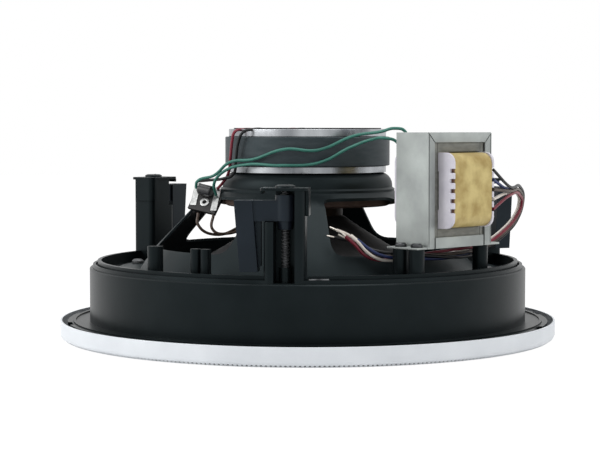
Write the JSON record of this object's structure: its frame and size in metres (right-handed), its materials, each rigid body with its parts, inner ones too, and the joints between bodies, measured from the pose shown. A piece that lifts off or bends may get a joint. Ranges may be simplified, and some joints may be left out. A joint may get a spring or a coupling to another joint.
{
  "type": "loudspeaker",
  "caption": "In-ceiling coaxial loudspeaker: perforated grille, black baffle drum with swing-out clamps, pressed basket, ferrite magnet and line transformer",
  "frame": {"origin": "bottom centre of the grille, on the floor it lies on", "axes": "+Z points from the grille to the magnet, away from the room; -Y faces the pictured side"},
  "size_m": [0.27, 0.27, 0.1161],
  "materials": {
    "white_steel": "white powder coat on perforated steel",
    "black_moulding": "black moulded plastic, satin",
    "dog_plastic": "blue-black moulded nylon",
    "blackened_screw": "blackened steel screws",
    "basket_paint": "black paint on pressed steel",
    "zinc_plate": "bright zinc plated steel",
    "ferrite": "ground ferrite",
    "black_label": "plain black label",
    "coil_former": "brown paper tube",
    "copper": "enamelled copper wire",
    "cone_paper": "black treated paper",
    "spider_cloth": "brown resin-treated cloth",
    "surround_rubber": "black rubber",
    "gasket_board": "black fibre board",
    "tweeter_plastic": "black moulded plastic",
    "dome_silk": "coated silk",
    "board_fibre": "black fibre sheet",
    "tinned_metal": "tinned brass and bright steel",
    "capacitor_sleeve": "dark heat-shrunk sleeve",
    "lamination": "silicon steel laminations",
    "galvanised": "galvanised sheet",
    "nylon": "white nylon",
    "wrap_paper": "yellowed varnished paper, bare",
    "green_lead": "green lead insulation",
    "red_lead": "red lead insulation",
    "black_lead": "black lead insulation",
    "blue_lead": "blue lead insulation",
    "white_lead": "white lead insulation",
    "brown_lead": "brown lead insulation",
    "tinsel": "brown braided tinsel lead"
  },
  "bodies": {
    "root": {"baffle": "black_moulding", "clamp_cap_1": "black_moulding", "clamp_cap_2": "black_moulding", "clamp_cap_3": "black_moulding", "basket_screws": "blackened_screw", "basket": "basket_paint", "front_plate": "zinc_plate", "back_plate": "zinc_plate", "magnet": "ferrite", "tweeter_magnet": "ferrite", "rear_label": "black_label", "transformer_winding": "copper", "spider": "spider_cloth", "surround": "surround_rubber", "gasket": "gasket_board", "tweeter_stem": "tweeter_plastic", "tweeter_housing": "tweeter_plastic", "tweeter_plate": "tweeter_plastic", "tweeter_dome": "dome_silk", "terminal_board": "board_fibre", "terminal_tag_left": "tinned_metal", "terminal_tag_right": "tinned_metal", "terminal_rivet": "tinned_metal", "cable_anchor": "tinned_metal", "transformer_screws": "tinned_metal", "tweeter_capacitor": "capacitor_sleeve", "transformer_core": "lamination", "transformer_frame": "galvanised", "transformer_strap": "galvanised", "transformer_bobbin": "nylon", "transformer_wrap": "wrap_paper", "lead_green_1": "green_lead", "lead_green_2": "green_lead", "lead_red": "red_lead", "tap_lead_red": "red_lead", "lead_black": "black_lead", "tap_lead_black": "black_lead", "tap_lead_blue": "blue_lead", "tap_lead_white": "white_lead", "tap_lead_brown": "brown_lead", "tinsel_lead_1": "tinsel", "tinsel_lead_2": "tinsel"},
    "grille_cover": {"grille": "white_steel"},
    "diaphragm": {"cone": "cone_paper", "voice_coil_former": "coil_former", "voice_coil_winding": "copper"},
    "dog_1": {"clamp_dog_1": "dog_plastic"},
    "screw_1": {"clamp_screw_1": "blackened_screw"},
    "dog_2": {"clamp_dog_2": "dog_plastic"},
    "screw_2": {"clamp_screw_2": "blackened_screw"},
    "dog_3": {"clamp_dog_3": "dog_plastic"},
    "screw_3": {"clamp_screw_3": "blackened_screw"}
  },
  "joints": [
    {"name": "grille_pull", "type": "slide", "parent": "root", "child": "grille_cover", "axis": [0, 0, -1], "range_m": [0, 0.05]},
    {"name": "cone_travel", "type": "slide", "parent": "root", "child": "diaphragm", "axis": [0, 0, 1], "range_m": [-0.003, 0.003], "stiffness_N_per_m": 2500, "deforming": ["surround", "spider"]},
    {"name": "clamp_swing_1", "type": "hinge", "parent": "root", "child": "dog_1", "pos_m": [-0.01122, -0.11043, 0.07], "axis": [0, 0, 1], "range_deg": [0, 90]},
    {"name": "clamp_screw_turn_1", "type": "hinge", "parent": "root", "child": "screw_1", "pos_m": [-0.01122, -0.11043, 0.07], "axis": [0, 0, 1], "continuous": true},
    {"name": "clamp_swing_2", "type": "hinge", "parent": "root", "child": "dog_2", "pos_m": [0.10125, 0.0455, 0.07], "axis": [0, 0, 1], "range_deg": [0, 90]},
    {"name": "clamp_screw_turn_2", "type": "hinge", "parent": "root", "child": "screw_2", "pos_m": [0.10125, 0.0455, 0.07], "axis": [0, 0, 1], "continuous": true},
    {"name": "clamp_swing_3", "type": "hinge", "parent": "root", "child": "dog_3", "pos_m": [-0.09003, 0.06493, 0.07], "axis": [0, 0, 1], "range_deg": [0, 90]},
    {"name": "clamp_screw_turn_3", "type": "hinge", "parent": "root", "child": "screw_3", "pos_m": [-0.09003, 0.06493, 0.07], "axis": [0, 0, 1], "continuous": true}
  ]
}
